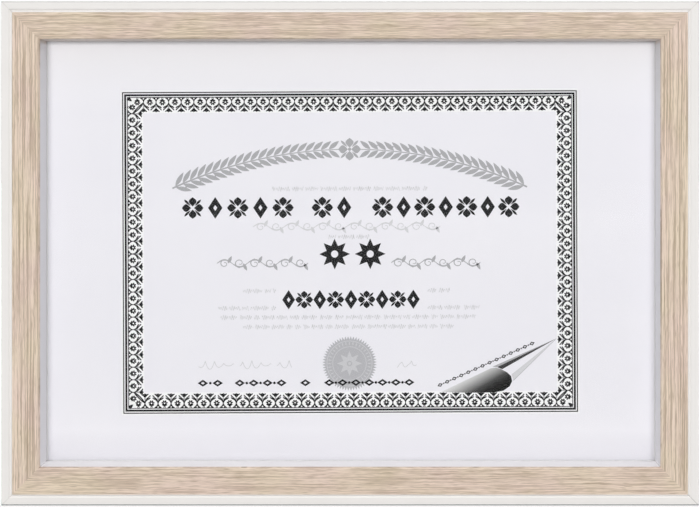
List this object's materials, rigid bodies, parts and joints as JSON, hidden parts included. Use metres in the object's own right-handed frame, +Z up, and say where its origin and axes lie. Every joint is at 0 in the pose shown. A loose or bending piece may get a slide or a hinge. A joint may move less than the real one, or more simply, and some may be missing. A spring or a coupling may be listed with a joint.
{
  "type": "certificate frame",
  "caption": "Flat rectangular wall frame with a white rim and an oak-effect face, a clear sheet over a bordered certificate, and a back held by turn buttons.",
  "frame": {"origin": "middle of the bottom edge's underside, halfway through the depth of the moulding", "axes": "+X to the right as seen from the front along the long side, +Y towards the wall, +Z up as hung in landscape"},
  "size_m": [0.314, 0.0183, 0.227],
  "materials": {
    "white_foil": "fibreboard moulding wrapped in satin white foil",
    "oak_foil": "pale limed-oak strip with fine dark grain, matt",
    "nail_steel": "bare V nails",
    "acrylic": "clear methacrylate sheet",
    "paper": "cool white card printed with a black scalloped flower border",
    "fibreboard": "brown hardboard, smooth",
    "screw_steel": "zinc-plated pan-head screws",
    "button_steel": "zinc-plated pressed steel",
    "hanger_steel": "zinc-plated strap and wire",
    "rivet_steel": "bright rivets"
  },
  "bodies": {
    "frame": {"rail_bottom": "white_foil", "rail_right": "white_foil", "rail_top": "white_foil", "rail_left": "white_foil", "oak_strip_bottom": "oak_foil", "oak_strip_right": "oak_foil", "oak_strip_top": "oak_foil", "oak_strip_left": "oak_foil", "corner_v_nails": "nail_steel", "acrylic_glazing": "acrylic", "certificate_sheet": "paper", "backing_board": "fibreboard", "turn_button_screws": "screw_steel", "hanger_strap_landscape": "hanger_steel", "hanger_strap_portrait": "hanger_steel", "hanger_rivets": "rivet_steel"},
    "turn_button_top_left": {"turn_button_top_left": "button_steel"},
    "turn_button_top_right": {"turn_button_top_right": "button_steel"},
    "turn_button_bottom_left": {"turn_button_bottom_left": "button_steel"},
    "turn_button_bottom_right": {"turn_button_bottom_right": "button_steel"},
    "turn_button_left": {"turn_button_left": "button_steel"},
    "turn_button_right": {"turn_button_right": "button_steel"},
    "hanger_ring_landscape": {"hanger_ring_landscape": "hanger_steel"},
    "hanger_ring_portrait": {"hanger_ring_portrait": "hanger_steel"}
  },
  "joints": [
    {"name": "turn_button_top_left_swivel", "type": "hinge", "parent": "frame", "child": "turn_button_top_left", "pos_m": [-0.08, 0.0081, 0.22325], "axis": [0, 1, 0], "continuous": true},
    {"name": "turn_button_top_right_swivel", "type": "hinge", "parent": "frame", "child": "turn_button_top_right", "pos_m": [0.08, 0.0081, 0.22325], "axis": [0, 1, 0], "continuous": true},
    {"name": "turn_button_bottom_left_swivel", "type": "hinge", "parent": "frame", "child": "turn_button_bottom_left", "pos_m": [-0.08, 0.0081, 0.00375], "axis": [0, 1, 0], "continuous": true},
    {"name": "turn_button_bottom_right_swivel", "type": "hinge", "parent": "frame", "child": "turn_button_bottom_right", "pos_m": [0.08, 0.0081, 0.00375], "axis": [0, 1, 0], "continuous": true},
    {"name": "turn_button_left_swivel", "type": "hinge", "parent": "frame", "child": "turn_button_left", "pos_m": [-0.15325, 0.0081, 0.1135], "axis": [0, 1, 0], "continuous": true},
    {"name": "turn_button_right_swivel", "type": "hinge", "parent": "frame", "child": "turn_button_right", "pos_m": [0.15325, 0.0081, 0.1135], "axis": [0, 1, 0], "continuous": true},
    {"name": "hanger_ring_landscape_hinge", "type": "hinge", "parent": "frame", "child": "hanger_ring_landscape", "pos_m": [0, 0.0091, 0.203], "axis": [1, 0, 0], "range_deg": [0, 180]},
    {"name": "hanger_ring_portrait_hinge", "type": "hinge", "parent": "frame", "child": "hanger_ring_portrait", "pos_m": [-0.116, 0.0091, 0.1135], "axis": [0, 0, 1], "range_deg": [0, 180]}
  ]
}
